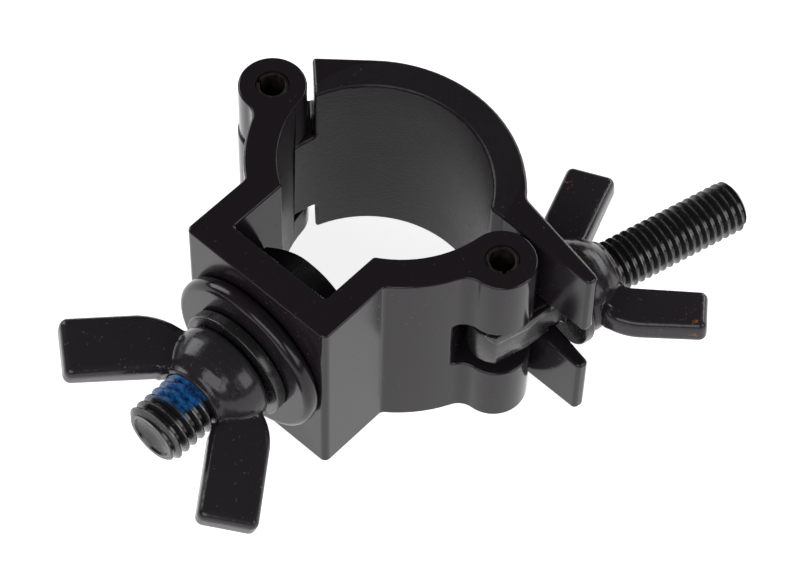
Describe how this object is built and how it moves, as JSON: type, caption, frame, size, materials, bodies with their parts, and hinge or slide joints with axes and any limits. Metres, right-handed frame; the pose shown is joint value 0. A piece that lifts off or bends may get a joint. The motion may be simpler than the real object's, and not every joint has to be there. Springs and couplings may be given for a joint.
{
  "type": "pipe clamp",
  "caption": "Hinged pipe clamp for hanging stage lights, closed by a swing bolt and wing nut, with a fixture bolt, washers and wing nut below.",
  "frame": {"origin": "on the axis of the pipe that the lower jaw fits, half way along the jaws", "axes": "+Z runs along the pipe, +X from the hinge to the swing bolt, and the fixture bolt points along -Y"},
  "size_m": [0.0732, 0.0918, 0.0336],
  "materials": {
    "coated_alloy": "extruded alloy under a gloss black coat",
    "coated_washer": "gloss black coat",
    "cast_nut": "malleable casting, black coated",
    "black_steel": "black zinc on steel",
    "spring_steel": "oiled black spring steel"
  },
  "bodies": {
    "lower_jaw": {"base_jaw": "coated_alloy", "mounting_bolt": "black_steel", "hinge_pin": "spring_steel", "swing_bolt_pin": "spring_steel"},
    "upper_jaw": {"top_jaw": "coated_alloy"},
    "swing_arm": {"swing_bolt": "black_steel"},
    "swing_washer": {"swing_washer": "black_steel"},
    "swing_nut": {"swing_wing_nut": "cast_nut"},
    "fixture_washers": {"large_washer": "coated_washer", "lock_washer": "black_steel"},
    "fixture_nut": {"mounting_wing_nut": "cast_nut"}
  },
  "joints": [
    {"name": "jaw_hinge", "type": "hinge", "parent": "lower_jaw", "child": "upper_jaw", "pos_m": [-0.02234, -0.0031, 0], "axis": [0, 0, 1], "range_deg": [0, 20.6]},
    {"name": "swing_bolt_pivot", "type": "hinge", "parent": "lower_jaw", "child": "swing_arm", "pos_m": [0.02234, -0.0031, -0.0004], "axis": [0, 0, -1], "range_deg": [0, 61.7]},
    {"name": "swing_washer_slide", "type": "slide", "parent": "swing_arm", "child": "swing_washer", "axis": [0.2672, 0.9636, 0], "range_m": [0, 0.0251]},
    {"name": "swing_nut_spin", "type": "hinge", "parent": "swing_washer", "child": "swing_nut", "pos_m": [0.02234, -0.0031, -0.0004], "axis": [0.2672, 0.9636, 0], "range_deg": [0, 7200]},
    {"name": "mounting_washer_slide", "type": "slide", "parent": "lower_jaw", "child": "fixture_washers", "axis": [0, -1, 0], "range_m": [0, 0.0083]},
    {"name": "mounting_nut_spin", "type": "hinge", "parent": "fixture_washers", "child": "fixture_nut", "pos_m": [-0.00015, 0, 0.0007], "axis": [0, -1, 0], "range_deg": [0, 1980]}
  ],
  "couplings": [
    {"joint": "swing_washer_slide", "follows": "swing_nut_spin", "m_per_rad": 0.00019894},
    {"joint": "jaw_hinge", "follows": "swing_nut_spin", "ratio": 0.0028472},
    {"joint": "swing_bolt_pivot", "follows": "swing_nut_spin", "ratio": 0.0085417},
    {"joint": "mounting_washer_slide", "follows": "mounting_nut_spin", "m_per_rad": 0.00023873}
  ]
}
